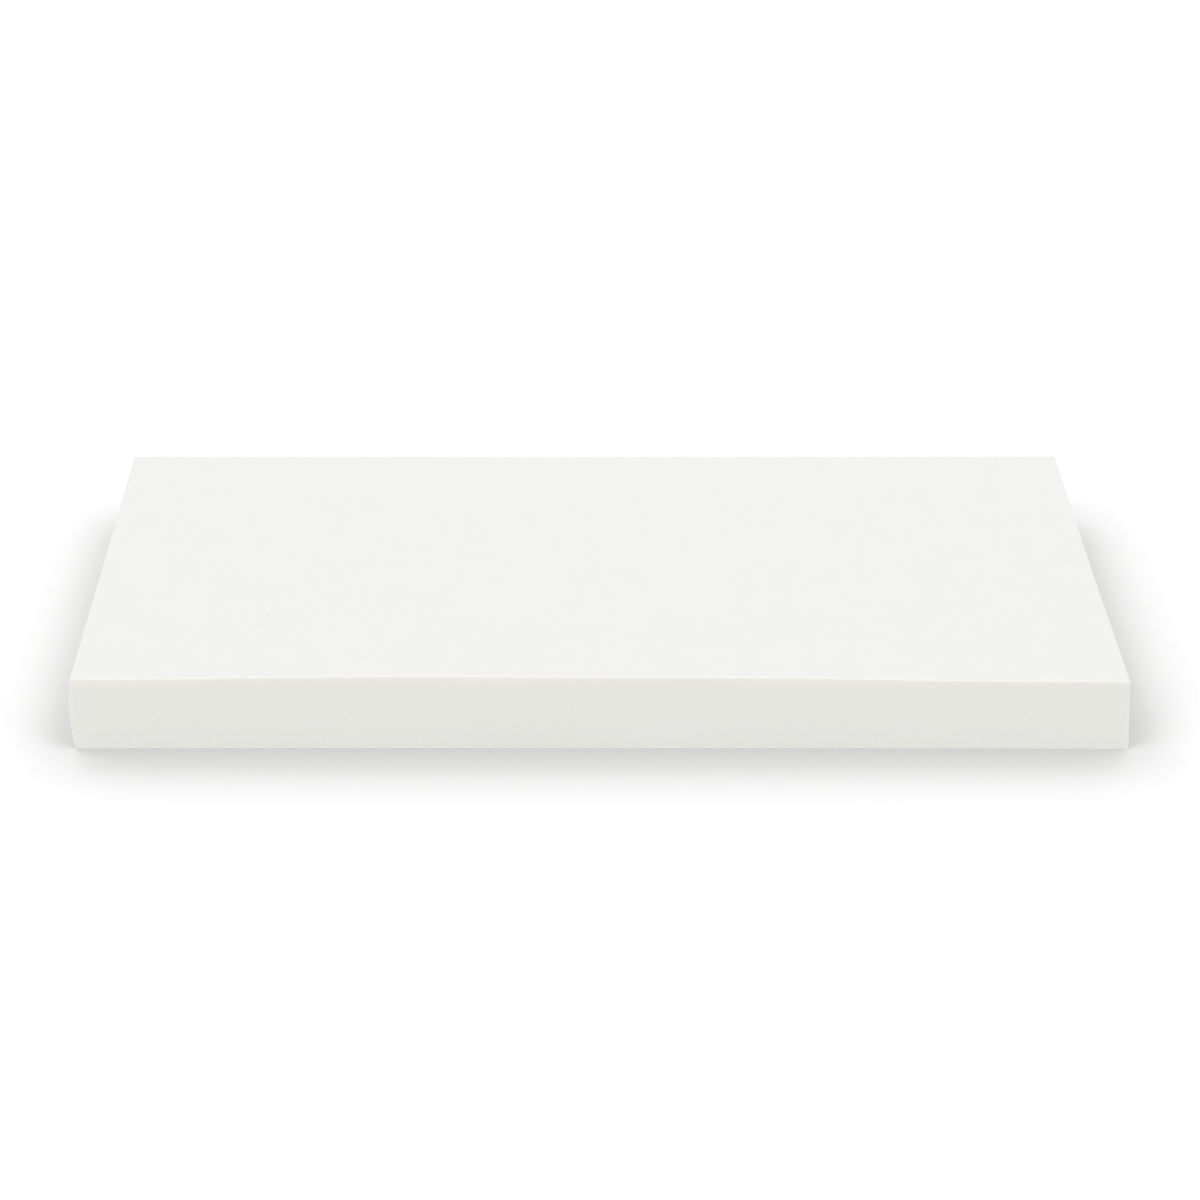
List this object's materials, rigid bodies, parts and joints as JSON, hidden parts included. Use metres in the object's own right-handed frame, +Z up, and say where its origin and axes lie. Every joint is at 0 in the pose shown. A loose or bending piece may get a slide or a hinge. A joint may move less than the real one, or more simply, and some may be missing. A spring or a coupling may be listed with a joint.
{
  "type": "memory foam mattress",
  "caption": "Uncovered foam mattress: a flat rectangular block with a slow-recovery top layer laminated to a firmer foam base.",
  "frame": {"origin": "on the underside, below the middle of the mattress, in the plane that it lies on", "axes": "+X along the length from foot to head, +Y along the width, +Z up through the memory foam layer"},
  "size_m": [2, 1.2, 0.14],
  "materials": {
    "support_foam": "matte open-cell polyurethane foam, knife-cut",
    "laminating_glue": "satin dried water-based contact glue, pale cream",
    "memory_foam": "matte fine-celled slow-recovery polyurethane foam, knife-cut"
  },
  "bodies": {
    "root": {"support_core": "support_foam", "glue_line": "laminating_glue", "memory_foam_layer": "memory_foam"}
  },
  "joints": []
}
